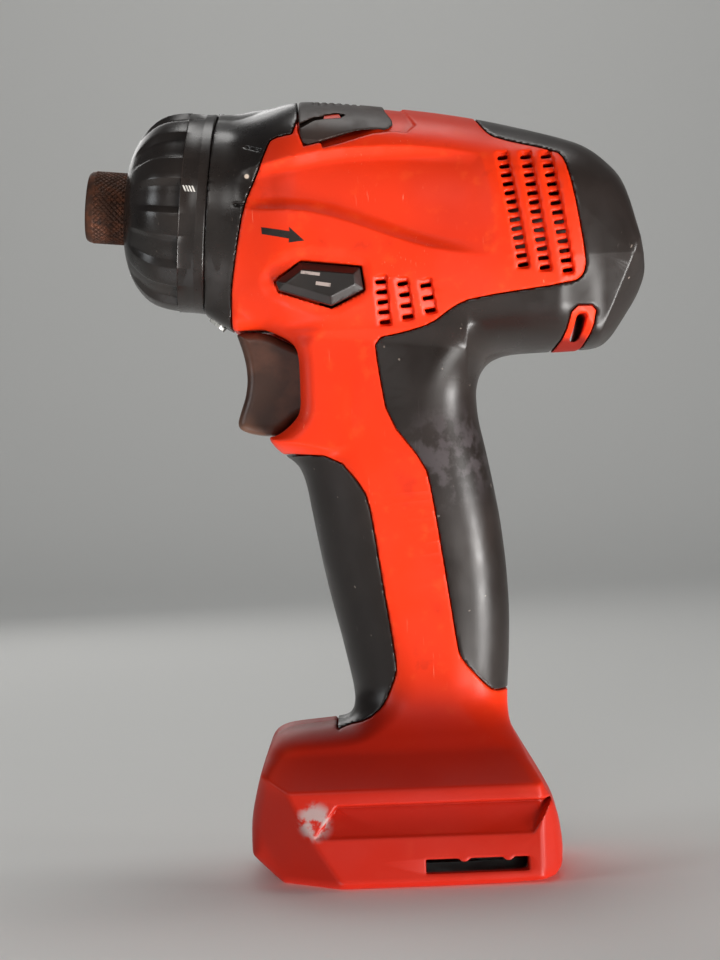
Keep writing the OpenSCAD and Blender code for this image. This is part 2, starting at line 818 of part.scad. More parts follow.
module reverse_lever() {
  color("white") difference() {
    union() {
      translate([-2, 0, 127]) cylinder(h = 2.5, r = 3.4);
      translate([-2, -1.4, 127]) cube([14, 2.8, 2.5]);
      translate([12, 0, 127]) cylinder(h = 6.2, r = 1.2);
    }
    translate([-2, 0, 126]) cylinder(h = 5, r = 1.5 + run);
  }
}

housing_left();
housing_right();
nose_cap();
rear_grip_left();
rear_grip_right();
front_grip_left();
front_grip_right();
tether_eyelet();
housing_screws();
led_lens();
motor_can();
motor_end_cap();
magnets();
brush_left();
brush_right();
motor_plate();
gear_case();
ring_gear_1();
spindle_bushes();
clutch_balls();
clutch_washer();
collar_clip();
switch_body();
terminal_block();
terminal_blades();
supply_wires();
motor_wires();
rotor_shaft();
armature_core();
windings();
commutator();
fan();
pinion();
carrier_1();
planet_1a();
planet_1b();
planet_1c();
planet_2a();
planet_2b();
planet_2c();
carrier_2();
spindle();
sleeve_clip();
bit_sleeve();
sleeve_spring();
ball_left();
ball_right();
torque_collar();
clutch_nut();
clutch_spring();
speed_selector();
shift_fork();
ring_gear_2();
trigger();
trigger_plunger();
trigger_spring();
reverse_button();
reverse_lever();
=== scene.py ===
import json
import math

import bmesh
import bpy
import numpy as np
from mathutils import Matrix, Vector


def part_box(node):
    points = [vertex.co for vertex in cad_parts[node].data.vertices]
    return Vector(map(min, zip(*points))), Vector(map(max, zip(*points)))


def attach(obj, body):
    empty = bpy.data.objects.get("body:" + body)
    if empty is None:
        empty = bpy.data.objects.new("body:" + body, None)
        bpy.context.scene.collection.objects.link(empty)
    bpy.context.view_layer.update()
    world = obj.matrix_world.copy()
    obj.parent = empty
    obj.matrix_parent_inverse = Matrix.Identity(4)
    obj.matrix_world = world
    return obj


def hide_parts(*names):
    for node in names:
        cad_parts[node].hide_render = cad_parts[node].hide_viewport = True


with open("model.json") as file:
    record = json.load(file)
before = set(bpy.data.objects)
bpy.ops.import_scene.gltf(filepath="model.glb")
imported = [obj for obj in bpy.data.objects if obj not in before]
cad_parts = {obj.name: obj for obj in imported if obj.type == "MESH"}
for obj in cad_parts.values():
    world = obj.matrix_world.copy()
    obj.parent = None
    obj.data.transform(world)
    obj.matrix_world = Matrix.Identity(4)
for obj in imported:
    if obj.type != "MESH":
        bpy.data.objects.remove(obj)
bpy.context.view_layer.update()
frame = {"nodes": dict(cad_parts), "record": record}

import openvdb
from mathutils import Matrix, Vector

MM = 0.001

# ---------------------------------------------------------------------------
# Places taken from the frame, in millimetres
# ---------------------------------------------------------------------------
JOINTS = {j["name"]: j for j in frame["record"]["behaviour"]["joints"]}
AXIS = np.array(JOINTS["spindle_spin"]["axis"])
AXIS_POINT = np.array(JOINTS["spindle_spin"]["pos_m"]) / MM
AXIS_Z = AXIS_POINT[2] - AXIS_POINT[0] * AXIS[2] / AXIS[0]
COS_UP, SIN_UP = AXIS[0], AXIS[2]


def low(node, axis):
    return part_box(node)[0][axis] / MM


def high(node, axis):
    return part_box(node)[1][axis] / MM


FOOT_Y = high("housing_left", 1)
COLLAR_R = (high("torque_collar", 1) - low("torque_collar", 1)) / 2
SLEEVE_R = (high("bit_sleeve", 1) - low("bit_sleeve", 1)) / 2
TRIGGER_Y = high("trigger", 1)
BUTTON_Y = high("reverse_button", 1)
# Station of the nose cover's front edge along the drive axis, counted from x = 0
CAP_FRONT = 41.0

# ---------------------------------------------------------------------------
# Outlines seen from the left side: x and z in millimetres
# ---------------------------------------------------------------------------
SIDE = [
    # the top from the nose to the bumper
    (50, 185), (42, 184.8), (36, 184.9), (27.2, 185.1), (21, 185.9), (12.6, 185.9), (-3.2, 183.8),
    (-15.3, 181.8), (-26.6, 179.3), (-40.1, 175.6), (-47.7, 173), (-52, 170.2), (-56.9, 165.1), (-59, 160),
    (-60.6, 152), (-62.3, 144.5), (-62.3, 140.6), (-60.4, 135.8), (-57.3, 131.1), (-54, 126.3),
    (-51.5, 124.3), (-39.8, 124), (-29, 123.6), (-24.6, 121.8),
    # the back of the handle, and the foot
    (-22.2, 118.6), (-21.2, 114.5),
    (-21.6, 108.1), (-22.9, 102), (-24.5, 93.4), (-26.1, 83.6), (-27.1, 73), (-27.5, 62),
    (-26.9, 50), (-25.9, 40), (-26.1, 35.5), (-28.2, 31.5), (-33.4, 22.5), (-36.3, 16.5), (-37.5, 8),
    (-36.9, 3.2), (-33, 0), (28.6, 0), (29.6, 0.4), (35.8, 6.3), (36.4, 7.6), (36.1, 16), (33.6, 26),
    (31.3, 32.5), (29.4, 34.6), (26, 35.8), (15, 36.7),
    # the front of the handle, the trigger's room and the chin
    (12.1, 37.4), (10.9, 39.4), (10.6, 42.7), (11.1, 46.4), (13.1, 56.1),
    (16.5, 70.8), (19, 85.4), (20.4, 94.5), (22.2, 99), (26.8, 102.3), (29, 105.6), (26.4, 105.9),
    (23.1, 108.4), (20.9, 111.2), (20.8, 118), (20.9, 125), (22.3, 128.1), (28.7, 131.5), (33, 131.5),
    (36.9, 131.3), (50, 141),
]
# The soft pads, the nose cover, the sunk panel and the groove in the foot
REAR = [
    (-22.5, 192), (-22.8, 180), (-24.8, 175.7), (-27.2, 173.5), (-41.4, 169.8), (-43, 167.8), (-44.6, 161),
    (-47.2, 144), (-46.6, 140.6), (-44.2, 138.8), (-20.4, 136.1), (-16, 134.4), (-10.6, 130.6), (-4, 128.9),
    (2.8, 127.8), (2.2, 121), (0.4, 108.8), (-8, 97.6), (-9.4, 91), (-12.4, 68.2), (-14.1, 54), (-15, 51),
    (-21.2, 44), (-23.5, 43.1), (-72, 43.1), (-72, 192),
]
FRONT = [
    (42, 101.8), (26.2, 101.6), (12.9, 100.4), (6.6, 92.4), (5.2, 87), (3, 69.7), (0.6, 52), (0.6, 48.5),
    (2.6, 43.6), (4.2, 40.6), (8, 37.6), (13.6, 36.2), (15.4, 35.2), (15.4, 45), (42, 45),
]
NOSE = [
    (18.9, 192), (18.9, 176.2), (25.2, 175.2), (26.4, 172.8), (28.7, 167.2), (32.2, 159.5), (35, 146.5),
    (36.5, 139), (36.8, 128), (62, 128), (62, 192),
]
PANEL = [
    (34, 167.2), (26.1, 168.9), (11.6, 171.6), (-4.7, 171.9), (-20, 170), (-24, 168.8), (-27.3, 145.2),
    (-12, 147.8), (-3.9, 150.4), (9.8, 155.8), (19, 158.2), (34, 158.8),
]
GROOVE = [(15.8, 19.6), (-34.3, 19.6), (-29.4, 11.8), (21.3, 12.1)]
# The speed selector, the slit in it and the patch of red that shows through
SELECTOR = [
    (18.7, 192), (18.7, 176.5), (17.6, 173), (14.1, 173.8), (6.2, 176.1), (1, 176.6), (-1.9, 176.1),
    (-3.8, 177.9), (-1.2, 182.7), (-1.2, 192),
]
SLIT = [(19.6, 176.6), (18.7, 178.3), (15.1, 180.1), (7.9, 180.9), (7.9, 180.3), (15.1, 179.2), (18, 177.4)]
RED_WINDOW = [(8.7, 179.9), (12.8, 179.7), (12.6, 180.6), (9.2, 181.1)]
EYELET = [(-43.8, 133.6), (-49.8, 133.6), (-48.9, 128.3), (-46.3, 123), (-39.3, 123), (-42.3, 127)]
EYELET_SLOT = [(-45, 131.9), (-47.6, 131.9), (-46.7, 128.3), (-45.5, 125.7), (-43.5, 125.7), (-44.1, 127.8)]
BUTTON = [(25.5, 141.6), (19.4, 145.9), (5.5, 144.2), (4.9, 138.9), (12.6, 135.4), (24.8, 139.5)]
TRIGGER = [
    (36.3, 109.4), (35.5, 111.9), (34.2, 115.5), (33.6, 119), (33.7, 122.6), (34.4, 126.2), (35.4, 129.4),
    (35.9, 131), (28.8, 131), (22.5, 127.7), (20, 126.5), (14, 126.5), (14, 110.6), (20.4, 110.6),
    (23.2, 108.7), (26.6, 106.3), (30, 106.1), (34, 106.9), (35.9, 107.9),
]
# The edge on the rear bumper where its two side facets meet
BUMPER_EDGE = (-58.3, 145)
# Louvre columns: first slot, last slot and the number of slots
LOUVRES = [
    (-28.4, 168.4, -32.2, 143.2, 13), (-33.8, 168.4, -37.2, 142.4, 13), (-38.6, 168.4, -42.5, 141.6, 13),
    (1.1, 140.6, 0.4, 131.5, 5), (-4, 140, -5, 132.5, 4), (-9.4, 139.4, -10.3, 133.7, 3),
]
# Rooms inside the shells
TRIGGER_SPACE = [
    (7.7, 126.8), (16.2, 128.1), (22.6, 131.4), (60, 131.4), (60, 106), (20.5, 106), (17, 108.4),
    (14.2, 110.3), (7.7, 110.3),
]
HANDLE_SPACE = [
    (-18, 140), (16, 142), (17, 112), (15.5, 103), (11, 75), (7, 45), (5, 16), (-20, 16), (-22, 45),
    (-22, 75), (-18.5, 103),
]
# The battery bay: x and y
BAY = [(-26, -28), (19, -28), (26.5, -19.5), (26.5, 19.5), (19, 28), (-26, 28), (-30, 21), (-30, -21)]
# The reversing button's bar and the room for it: y and z
BAR = [(-1, 131), (11, 131), (16, 135.7), (21.6, 137.6), (21.6, 141), (17, 141), (11, 136.8), (-1, 136.8)]
BAR_SPACE = [(-1, 130.6), (13.9, 130.6), (18.9, 135), (24.4, 136.9), (24.4, 141.4), (-1, 141.4)]
# Screws: x, z and how far the head's seat lies from the middle plane
SCREWS = [
    (-33, 131, 13), (-9, 131.5, 12), (15.5, 99.5, 11), (-17, 104, 9), (-20, 58, 8.5), (7, 54, 10),
    (23, 26, 20), (-26, 26, 20),
]


# ---------------------------------------------------------------------------
# Distance fields: negative inside, in millimetres
# ---------------------------------------------------------------------------
CORNER_CUT = 0.22


def rounded(points, times=2):
    """Cuts the corners of a closed outline, so that they turn smoothly."""
    p = np.array(points, float)
    for _ in range(times):
        q = np.roll(p, -1, axis=0)
        near, far = (1 - CORNER_CUT) * p + CORNER_CUT * q, CORNER_CUT * p + (1 - CORNER_CUT) * q
        p = np.stack([near, far], axis=1).reshape(-1, 2)
    return p


def outline_field(points, x, z):
    """Signed distance from a closed outline."""
    p = np.array(points, float)
    q = np.roll(p, -1, axis=0)
    best = np.full(np.broadcast(x, z).shape, 1e9)
    inside = np.zeros(best.shape, bool)
    for (ax, az), (bx, bz) in zip(p, q):
        ex, ez = bx - ax, bz - az
        t = np.clip(((x - ax) * ex + (z - az) * ez) / (ex * ex + ez * ez + 1e-12), 0, 1)
        best = np.minimum(best, (x - ax - t * ex) ** 2 + (z - az - t * ez) ** 2)
        if az != bz:
            crosses = ((z < az) != (z < bz)) & (x < ax + (z - az) / (bz - az) * ex)
            inside ^= crosses
    return np.where(inside, -1.0, 1.0) * np.sqrt(best)


def ramp(v, start, end):
    """Goes smoothly from 0 at start to 1 at end."""
    t = np.clip((v - start) / (end - start), 0, 1)
    return t * t * (3 - 2 * t)


def soft_max(a, b, k):
    """The larger of two, blended where they differ by less than k."""
    h = np.clip(k - np.abs(a - b), 0, None) / k
    return np.maximum(a, b) + h * h * k / 4


def soft_min(a, b, k):
    return -soft_max(-a, -b, k)


def round_max(a, b, r):
    """Both at once, with a round edge of radius r between them."""
    return np.minimum(np.maximum(a + r, b + r), 0) + np.hypot(np.maximum(a + r, 0), np.maximum(b + r, 0)) - r


def drive_coords(x, z):
    """Station along the drive axis and height above it."""
    return x * COS_UP + (z - AXIS_Z) * SIN_UP, (z - AXIS_Z) * COS_UP - x * SIN_UP


BARREL_HALF_WIDE, BARREL_HALF_HIGH = 27.4, 31
HANDLE_HALF_WIDE = 16.6
BUMPER_HALF_WIDE = 25.6
CHIN_HALF_WIDE = 10.5
FOOT_RIDGE_Z = 23.1
FOOT_EDGE_BLEND = 0.9


def past(v, start):
    """How far v lies past start, and 0 before it."""
    return np.clip(v - start, 0, None)


def barrel_width(x, z):
    """Half width of the barrel: a flattened round section, narrower at the nose and the bumper."""
    s, r = drive_coords(x, z)
    nose = ramp(s, 20, 38)
    power = 2.4 - 0.4 * nose
    half_high = BARREL_HALF_HIGH - 6.5 * nose
    wide = BARREL_HALF_WIDE - 3 * nose - 1.5 * ramp(s, -42, -58)
    barrel = wide * np.clip(1 - (np.abs(r) / half_high) ** power, 0, 1) ** (1 / power)
    barrel = np.where(np.abs(r) < half_high, barrel, -0.6 * (np.abs(r) - half_high))
    # flat faces on the rear bumper: one that looks down, one that stands, and a bevel behind them
    under = z - BUMPER_EDGE[1]
    facet = BUMPER_HALF_WIDE + np.where(under < 0, 0.50, 0.13) * under
    behind = -0.922 * (x - BUMPER_EDGE[0]) - 0.388 * under
    facet = np.minimum(facet, facet - 1.15 * behind)
    return barrel + ramp(x, -40, -52) * (np.minimum(barrel, facet) - barrel)


def foot_width(x, z):
    """Half width of the foot: an upright side that flat facets cut at the front, rear, top and bottom."""
    edge_x = 17 + 0.44 * z
    foot = soft_min(FOOT_Y + 0 * x, FOOT_Y - 1.05 * (x - edge_x), FOOT_EDGE_BLEND)
    foot = soft_min(foot, FOOT_Y - 0.953 * (x - 21.9) + 0.588 * (z - 12), FOOT_EDGE_BLEND)
    foot = soft_min(foot, FOOT_Y - 1.2 * (-31.5 - x), FOOT_EDGE_BLEND)
    foot = soft_min(foot, FOOT_Y - 1.25 * (z - FOOT_RIDGE_Z), 0.8)
    return soft_min(foot, FOOT_Y - 1.1 + 1.1 * z, 1.2)


def half_width(x, z):
    """Half width of the body at each place seen from the side."""
    handle = HANDLE_HALF_WIDE + 1.6 * ramp(z, 62, 104) + 0.4 * ramp(z, 45, 30)
    handle = handle - 1.1 * past(-x, 19) * ramp(z, 112, 122) - 0.6 * past(z, 130)
    body = soft_max(barrel_width(x, z), handle, 7)
    chin = CHIN_HALF_WIDE - 0.8 * past(x, 38) - 0.9 * past(-x, -24) - 0.8 * past(z, 138)
    body = soft_max(body, chin, 4)
    return soft_max(body, foot_width(x, z), 9 - 6 * ramp(z, 34, 26))


LOUVRE_STRIP_HALF = 1.7
LOUVRE_SLOT_HALF, LOUVRE_SLOT_HALF_HIGH = 1.3, 0.48


def louvre_coords(column, x, z):
    """Distance down a louvre column from its first slot and across it to the rear, its length and pitch."""
    x0, z0, x1, z1, count = column
    length = math.hypot(x1 - x0, z1 - z0)
    dx, dz = (x1 - x0) / length, (z1 - z0) / length
    return (x - x0) * dx + (z - z0) * dz, (x - x0) * dz - (z - z0) * dx, length, length / (count - 1)


def louvre_dish(x, z):
    """Depth of the louvre strips, which slope in towards the rear."""
    depth = 0
    for column in LOUVRES:
        down, across, length, _ = louvre_coords(column, x, z)
        edge = np.maximum(np.maximum(-1.4 - down, down - length - 1.0), np.abs(across) - LOUVRE_STRIP_HALF)
        slope = np.clip(across + LOUVRE_STRIP_HALF, 0, 2 * LOUVRE_STRIP_HALF)
        depth = np.maximum(depth, ramp(edge, 0.1, -0.2) * (0.1 + 0.36 * slope))
    return depth


def louvre_slots(x, z):
    """Field of the slots through the louvres, seen from the side."""
    best = 9.0
    for column in LOUVRES:
        down, across, _, pitch = louvre_coords(column, x, z)
        near = np.clip(np.round(down / pitch), 0, column[4] - 1) * pitch
        slot = np.maximum(np.abs(across - 0.2) - LOUVRE_SLOT_HALF, np.abs(down - near) - LOUVRE_SLOT_HALF_HIGH)
        best = np.minimum(best, slot)
    return best


def edge_radius(x, z):
    """Radius that rounds the outline's edges over to the flanks."""
    grip = ramp(z, 26, 46) * ramp(z, 136, 108)
    bumper = ramp(x, -45, -50) * ramp(z, 170, 143) * ramp(z, 122, 128)
    trigger_cheek = ramp(x, 8, 15) * ramp(z, 100, 105) * ramp(z, 133, 126)
    radius = 2.5 + 12.8 * grip + 7.5 * ramp(z, 108, 136)
    radius = radius - 6.5 * bumper
    return radius * (1 - trigger_cheek) + 4 * trigger_cheek


PANEL_DEPTH = 2.2
PANEL_SLOPE = 3.4
BUTTON_DISH = 0.8


class Form:
    """The body's side fields on a grid of x and z."""

    def __init__(self, x, z):
        self.side = outline_field(rounded(SIDE), x, z)
        self.width = half_width(x, z)
        # the sunk panel above the button, which runs out to the rear and under the nose cover
        sunk = np.clip((0.3 - outline_field(rounded(PANEL, 1), x, z)) / PANEL_SLOPE, 0, 1)
        self.width = self.width - PANEL_DEPTH * (1 - (1 - sunk) ** 2) * ramp(x, -30, -3) * ramp(x, 35, 25)
        # the foot's groove, deepest along its upper edge
        floor_depth = 0.3 + 0.53 * np.clip(z - 11.8, 0, 8)
        self.width = self.width - floor_depth * ramp(outline_field(GROOVE, x, z), 0.15, -0.55)
        self.width = self.width - louvre_dish(x, z)
        # a shallow dish around the reversing button
        by_button = outline_field(rounded(BUTTON, 1), x - 0.8, z - 0.6)
        self.width = self.width - BUTTON_DISH * ramp(by_button, 3.6, 0.4)
        self.radius = np.minimum(edge_radius(x, z), np.clip(self.width - 0.5, 0.5, None))

    def surface_y(self):
        """The left surface's distance from the middle plane."""
        drop = np.clip(self.side + self.radius, 0, self.radius)
        return self.width - self.radius + np.sqrt(self.radius ** 2 - drop ** 2)


GRID, FINE_GRID = 0.4, 0.25
FIELD_LIMIT = 2
CROWN, CROWN_LIMIT = 0.0024, 0.8


class Block:
    """A box of grid points on which fields are worked out and turned into surfaces."""

    def __init__(self, lo, hi, step=GRID):
        self.lo, self.step = np.array(lo, float), step
        axes = [np.arange(lo[i], hi[i] + step, step, dtype=np.float32) for i in range(3)]
        self.x, self.y, self.z = np.ix_(*axes)
        self.x2, self.z2 = self.x[:, 0, :], self.z[:, 0, :]

    def flat(self, points, times=1):
        """Field of an outline of x and z, with its corners cut a number of times."""
        return outline_field(rounded(points, times) if times else points, self.x2, self.z2)[:, None, :]

    def body(self):
        """Field of the whole body."""
        f = Form(self.x2, self.z2)
        radius = f.radius[:, None, :]
        # the rear faces are crowned a little across the tool
        crown = (CROWN * ramp(self.x2, -14, -40) * ramp(self.z2, 1, 8))[:, None, :] * self.y ** 2
        side = f.side[:, None, :] + np.minimum(crown, CROWN_LIMIT)
        return round_max(side, np.abs(self.y) - f.width[:, None, :], radius)

    def surface(self, field, name, mirror=False, keep=1.0):
        """Turns a field into a mesh object, mirrored to the right side if asked."""
        field = np.broadcast_to(field, (self.x.size, self.y.size, self.z.size))
        field = np.ascontiguousarray(np.clip(field, -FIELD_LIMIT, FIELD_LIMIT), dtype=np.float32)
        for axis in range(3):
            edge = [slice(None)] * 3
            for end in (0, -1):
                edge[axis] = end
                field[tuple(edge)] = FIELD_LIMIT
        grid = openvdb.FloatGrid(float(FIELD_LIMIT))
        grid.copyFromArray(field)
        points, quads = grid.convertToQuads(0.0)
        points = points * self.step + self.lo
        if mirror:
            points[:, 1] *= -1
            quads = quads[:, ::-1]
        return mesh_object(name, points, quads, keep)


SHARP_ANGLE = math.radians(42)


def mesh_object(name, points, faces, keep=1.0, outward=True):
    """An object from points in millimetres and rows of faces, thinned to a share of its triangles."""
    mesh = bpy.data.meshes.new(name)
    faces = np.asarray(faces)
    mesh.vertices.add(len(points))
    mesh.vertices.foreach_set("co", (np.asarray(points, float) * MM).astype(np.float32).ravel())
    mesh.loops.add(faces.size)
    mesh.loops.foreach_set("vertex_index", faces.astype(np.int32).ravel())
    mesh.polygons.add(len(faces))
    mesh.polygons.foreach_set("loop_start", np.arange(0, faces.size, faces.shape[1], dtype=np.int32))
    mesh.update(calc_edges=True)
    mesh.validate()
    if outward:
        bm = bmesh.new()
        bm.from_mesh(mesh)
        if bm.calc_volume(signed=True) < 0:
            bmesh.ops.reverse_faces(bm, faces=bm.faces)
        bm.to_mesh(mesh)
        bm.free()
    obj = bpy.data.objects.new(name, mesh)
    bpy.context.scene.collection.objects.link(obj)
    if keep < 1:
        shrink = obj.modifiers.new("shrink", "DECIMATE")
        shrink.ratio = keep
        graph = bpy.context.evaluated_depsgraph_get()
        lighter = bpy.data.meshes.new_from_object(obj.evaluated_get(graph))
        obj.modifiers.clear()
        obj.data = lighter
    obj.data.shade_smooth()
    obj.data.set_sharp_from_angle(angle=SHARP_ANGLE)
    return obj


# ---------------------------------------------------------------------------
# Shells, pads and nose cover, cut from the body's field
# ---------------------------------------------------------------------------
SEAM = 0.13           # half the gap between neighbouring pieces
SKIN = 1.4            # thickness of the soft pads
WALL = 2.4
BAY_WALL, BAY_TOP = 1.1, 19
BORE_R, REAR_STATION = 24.2, -47.3
LENS_TILT = math.radians(140)
LATCH_X, LATCH_Z = -16.15, 4.95
LATCH_HALF_LONG, LATCH_HALF_HIGH = 11.85, 1.65
NIBS_X, NIB_Z, NIB_R = (-13.2, -23.4), 7.3, 1.5
BAR_X = 12
DIAGONAL = 0.7071
SCREW_HOLE_R = 2.95


def travel(joint):
    """How far a sliding joint goes."""
    return JOINTS[joint]["range_m"][1] / MM


def cut(field, tool, edge=0.0):
    """Takes the tool away, with a small round edge if asked."""
    return round_max(field, -tool, edge) if edge else np.maximum(field, -tool)


def lens_field(b, r):
    """Cylinder field of the lamp's pocket."""
    lo, hi = (np.array(v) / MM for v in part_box("led_lens"))
    c = (lo + hi) / 2
    ax, az = math.sin(LENS_TILT), math.cos(LENS_TILT)
    along = (b.x - c[0]) * ax + (b.z - c[2]) * az
    across = (b.x - c[0]) * az - (b.z - c[2]) * ax
    return np.maximum(np.hypot(across, b.y) - r, np.abs(along) - 4)


def hollow(b, body):
    """Field of the space inside the shells."""
    s, r = drive_coords(b.x2, b.z2)
    s, r = s[:, None, :], r[:, None, :]
    drive = np.maximum(np.hypot(r, b.y) - (BORE_R - 1.7 * ramp(s, 20, 27)), REAR_STATION - s)
    handle = np.maximum(b.flat(HANDLE_SPACE, 0), np.abs(b.y) - 12.5)
    inside = np.maximum(np.minimum(drive, handle), body + WALL)
    bay = outline_field(BAY, b.x[:, :, 0], b.y[:, :, 0])[:, :, None]
    return np.minimum(inside, np.maximum(np.maximum(bay, b.z - BAY_TOP), body + BAY_WALL))


def latch_slot(b):
    """The long slot low in the foot's side, with two nibs on its upper edge."""
    outer = 20 - np.abs(b.y)
    slot = np.maximum(np.abs(b.x - LATCH_X) - LATCH_HALF_LONG, np.abs(b.z - LATCH_Z) - LATCH_HALF_HIGH)
    slot = np.maximum(slot, outer)
    for x in NIBS_X:
        nib = np.maximum(np.hypot(b.x - x, b.z - NIB_Z) - NIB_R, outer)
        slot = np.maximum(slot, -nib)
    return slot


def controls(b, body):
    """Field of the room for the trigger and the reversing button."""
    room = np.maximum(b.flat(TRIGGER_SPACE, 0), np.abs(b.y) - TRIGGER_Y - 0.3)
    cap = np.maximum(b.flat(BUTTON, 0) - 0.35, 18.6 - np.abs(b.y))
    bar = outline_field(BAR_SPACE, np.abs(b.y[0]), b.z[0])[None]
    bar = np.maximum(np.maximum(bar, np.abs(b.x - BAR_X) - 3.4), body + 1.2)
    return np.minimum(np.minimum(room, cap), bar)


def selector_seat(b, body):
    """The seat that the speed selector slides back in: thin behind it, deeper under it."""
    room = travel("selector_slide")
    moved = outline_field(SELECTOR, b.x2 + room * COS_UP, b.z2 + room * SIN_UP)[:, None, :]
    shape = np.minimum(b.flat(SELECTOR, 0), moved)
    depth = 0.65 + 2.15 * ramp(b.x, 0, 5)
    return np.maximum(shape - 0.25, -(body + depth))


def screw_holes(b):
    """Holes for the screws and their heads, from the right side."""
    field = 9.0
    for x, z, seat in SCREWS:
        radius = np.hypot(b.x - x, b.z - z)
        field = np.minimum(field, np.maximum(radius - SCREW_HOLE_R, seat - b.y))
    return field


def make_shells():
    """The two red shells and the four soft pads moulded over them."""
    b = Block((-66, -1.2, -1.2), (44.8, 33.2, 187.6))
    body = b.body().astype(np.float32)
    soft = np.minimum(b.flat(REAR), b.flat(FRONT))
    other = np.minimum(b.flat(NOSE), b.flat(EYELET)) - SEAM
    slots = np.maximum(louvre_slots(b.x2, b.z2)[:, None, :], 14 - np.abs(b.y))
    space = hollow(b, body)
    rooms = np.minimum(np.minimum(controls(b, body), latch_slot(b)), lens_field(b, 2.4))
    half = round_max(body, 0.02 - b.y, 0.25)
    screws = screw_holes(b)
    under_skin = body + SKIN + 0.1
    shell = cut(half, other, 0.25)
    shell = np.maximum(shell, np.minimum(-(soft - SEAM), under_skin))
    shell = cut(cut(shell, rooms, 0.25), slots)
    shell = cut(cut(shell, space), selector_seat(b, body), 0.25)
    pad = round_max(round_max(half, soft + SEAM, 0.3), -(body + SKIN), 0.1)
    pad = cut(cut(pad, other, 0.3), rooms, 0.3)
    pieces = []
    for side, name in ((1, "left"), (-1, "right")):
        bored = np.maximum(shell, -screws) if side < 0 else shell
        red = b.surface(bored, "shell_" + name, mirror=side < 0, keep=0.36)
        pieces.append((red, "red_shell", "body", ("housing_" + name,)))
        bored = np.maximum(pad, -screws) if side < 0 else pad
        for region, area in (("rear", REAR), ("front", FRONT)):
            part = np.maximum(bored, b.flat(area) - 1.5)
            piece = b.surface(part, f"{region}_pad_{name}", mirror=side < 0, keep=0.3)
            pieces.append((piece, "soft_grip", "body", (f"{region}_grip_{name}",)))
    return pieces


NOSE_CREASE_X, NOSE_CREASE_Z = 30.4, 159.3
NOSE_STEP = [(27.6, 172), (31.8, 173.5), (31.6, 174), (27.4, 172.5)]


def make_nose():
    """The black nose cover, with a crease and a small step in its side."""
    b = Block((17.5, -27.6, 128.5), (44.8, 27.6, 187.2), 0.35)
    body = b.body()
    s, r = drive_coords(b.x2, b.z2)
    s, r = s[:, None, :], r[:, None, :]
    nose = round_max(round_max(body, b.flat(NOSE) + SEAM, 0.25), s - CAP_FRONT, 0.15)
    bore = np.hypot(r, b.y) - 22.4
    throat = np.maximum(np.hypot(r, b.y) - 18.5, 20 - s)
    nose = np.maximum(nose, -np.minimum(np.maximum(bore, s - (CAP_FRONT - 2.6)), throat))
    crease = np.abs(b.z - NOSE_CREASE_Z - 0.1 * (b.x - 28)) - 0.3
    crease = np.maximum(crease, np.abs(b.x - NOSE_CREASE_X) - 4.2)
    step = b.flat(NOSE_STEP, 0)
    nose = cut(nose, np.maximum(np.minimum(crease, step), -(body + 0.6)), 0.2)
    nose = cut(cut(nose, controls(b, body), 0.3), selector_seat(b, body), 0.2)
    nose = np.maximum(nose, -lens_field(b, 2.36))
    return [(b.surface(nose, "nose_cover", keep=0.5), "black_shell", "body", ("nose_cap",))]


def make_eyelet():
    """The red tether frame under the bumper, with its slot through the tool."""
    b = Block((-52, -25, 121.5), (-38, 25, 135), FINE_GRID)
    rim = round_max(b.body() - 0.15, b.flat(EYELET) + SEAM, 0.3)
    rim = cut(rim, b.flat(EYELET_SLOT), 0.4)
    return [(b.surface(rim, "tether_frame", keep=0.4), "red_shell", "body", ("tether_eyelet",))]


RIB_PITCH, RIB_GAP_HALF = 1.8, 0.4
RIBS_X, RIBS_HALF_LONG, RIBS_Z = 9.6, 5.6, 184
SLIT_DEPTH, RIB_DEPTH = 1.2, 0.2


def make_selector():
    """The saddle-shaped speed selector, thin at its flange and thick under the slit."""
    b = Block((-6, -25, 170), (20.5, 25, 187), FINE_GRID)
    body = b.body()
    thick = 0.5 + 1.9 * ramp(b.x, 5, 9.5) - 0.6 * ramp(b.x, 15.5, 17.5)
    saddle = round_max(body - 0.12, b.flat(SELECTOR, 1), 0.35)
    saddle = np.maximum(saddle, -(body + thick))
    # a slit above the flange, wider where the red shows through, then a row of ribs on top
    slit = np.minimum(b.flat(SLIT, 0), b.flat(RED_WINDOW, 0) - 0.15)
    saddle = cut(saddle, np.maximum(slit, -(body + SLIT_DEPTH)), 0.15)
    gaps = np.abs(np.mod(b.x, RIB_PITCH) - RIB_PITCH / 2) - RIB_GAP_HALF
    gaps = np.maximum(gaps, np.maximum(np.abs(b.x - RIBS_X) - RIBS_HALF_LONG, RIBS_Z - b.z))
    saddle = cut(saddle, np.maximum(gaps, -(body + RIB_DEPTH)), 0.15)
    piece = b.surface(saddle, "selector_saddle", keep=0.4)
    return [(piece, "black_shell", "selector", ("speed_selector",))]


SPRING_R, SPRING_Z = 4.2, 118
POCKET_HALF, POCKET_END = 0.8, 20.6


def make_trigger():
    """The trigger, with a ring-shaped pocket that takes the return spring when it is pulled."""
    b = Block((13, -8.8, 105), (37.4, 8.8, 132), 0.22)
    blade = round_max(b.flat(TRIGGER, 2), np.abs(b.y) - TRIGGER_Y, 2.4)
    pocket = np.abs(np.hypot(b.y, b.z - SPRING_Z) - SPRING_R) - POCKET_HALF
    pocket = np.maximum(pocket, b.x - POCKET_END)
    piece = b.surface(cut(blade, pocket), "trigger_blade", keep=0.4)
    return [(piece, "trigger_plastic", "trigger", ("trigger",))]


